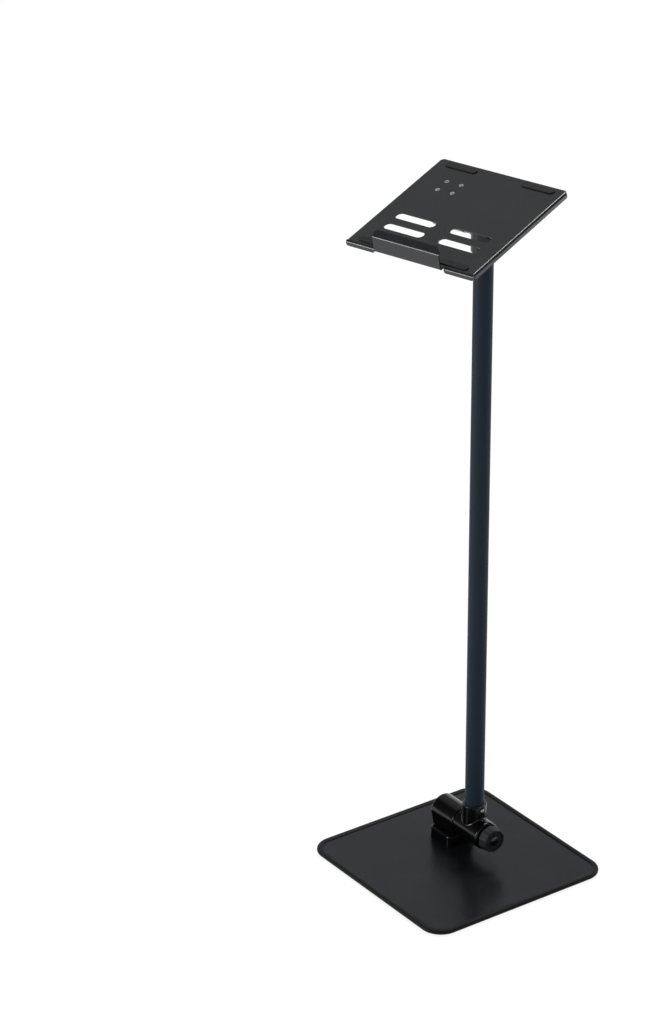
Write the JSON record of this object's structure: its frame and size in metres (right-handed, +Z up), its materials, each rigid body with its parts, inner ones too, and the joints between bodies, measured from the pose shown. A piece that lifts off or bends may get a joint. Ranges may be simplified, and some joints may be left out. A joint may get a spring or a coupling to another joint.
{
  "type": "bike trainer desk",
  "caption": "Free-standing desk for riding on a trainer: a tray with a hooked front lip on a tall pole that tilts over a square, rubber-edged floor plate.",
  "frame": {"origin": "middle of the base's underside, on the floor", "axes": "+Z up, +X to the rider's right, +Y away from the rider; the pole stands upright and the tray is turned and tilted as in the picture"},
  "size_m": [0.355, 0.3567, 1.1869],
  "materials": {
    "plate_black": "satin powder coat",
    "edge_rubber": "matte rubber",
    "pole_blue_black": "satin blue-black paint",
    "hinge_black": "glossy moulded plastic",
    "knob_black": "matte soft-touch plastic",
    "tray_black": "fine-textured powder coat",
    "plug_black": "matte moulded plastic",
    "washer_fibre": "matte fibre composite",
    "zinc_steel": "bright zinc plated",
    "brass": "plain brass"
  },
  "bodies": {
    "base": {"base_plate": "plate_black", "base_edge_trim": "edge_rubber", "base_mat": "edge_rubber", "base_foot": "hinge_black", "base_housing": "hinge_black", "base_end_cap": "plug_black", "base_bolt": "zinc_steel", "base_friction_washer": "washer_fibre", "base_foot_screw_1": "zinc_steel", "base_foot_screw_2": "zinc_steel", "base_foot_screw_3": "zinc_steel", "base_foot_screw_4": "zinc_steel"},
    "pole": {"base_core": "hinge_black", "base_collar_screw": "zinc_steel", "pole_tube": "pole_blue_black", "pole_bottom_plug": "plug_black", "pole_top_plug": "plug_black"},
    "swivel_head": {"head_core": "hinge_black", "head_collar_screw": "zinc_steel"},
    "tray": {"tray_panel": "tray_black", "tray_pad_front_left": "edge_rubber", "tray_pad_front_right": "edge_rubber", "tray_pad_rear_left": "edge_rubber", "tray_pad_rear_right": "edge_rubber", "head_foot": "hinge_black", "head_housing": "hinge_black", "head_end_cap": "plug_black", "head_bolt": "zinc_steel", "head_friction_washer": "washer_fibre", "tray_screw_1": "zinc_steel", "tray_screw_2": "zinc_steel", "tray_screw_3": "zinc_steel", "tray_screw_4": "zinc_steel"},
    "base_clamp_knob": {"base_knob": "knob_black", "base_knob_nut": "brass", "base_knob_cap": "plug_black", "base_pressure_washer": "zinc_steel"},
    "tray_clamp_knob": {"head_knob": "knob_black", "head_knob_nut": "brass", "head_knob_cap": "plug_black", "head_pressure_washer": "zinc_steel"}
  },
  "joints": [
    {"name": "base_tilt", "type": "hinge", "parent": "base", "child": "pole", "pos_m": [0, 0.035, 0.052], "axis": [1, 0, 0], "range_deg": [-75, 75]},
    {"name": "head_swivel", "type": "hinge", "parent": "pole", "child": "swivel_head", "pos_m": [0, 0.035, 1.088], "axis": [0, 0, 1], "continuous": true},
    {"name": "tray_tilt", "type": "hinge", "parent": "swivel_head", "child": "tray", "pos_m": [0, 0.035, 1.124], "axis": [0.9636, 0.2672, 0], "range_deg": [-60, 70]},
    {"name": "base_knob_turn", "type": "hinge", "parent": "base", "child": "base_clamp_knob", "pos_m": [0.0376, 0.035, 0.052], "axis": [1, 0, 0], "range_deg": [0, 360]},
    {"name": "tray_knob_turn", "type": "hinge", "parent": "tray", "child": "tray_clamp_knob", "pos_m": [0.03623, 0.04505, 1.124], "axis": [0.9636, 0.2672, 0], "range_deg": [0, 360]}
  ]
}
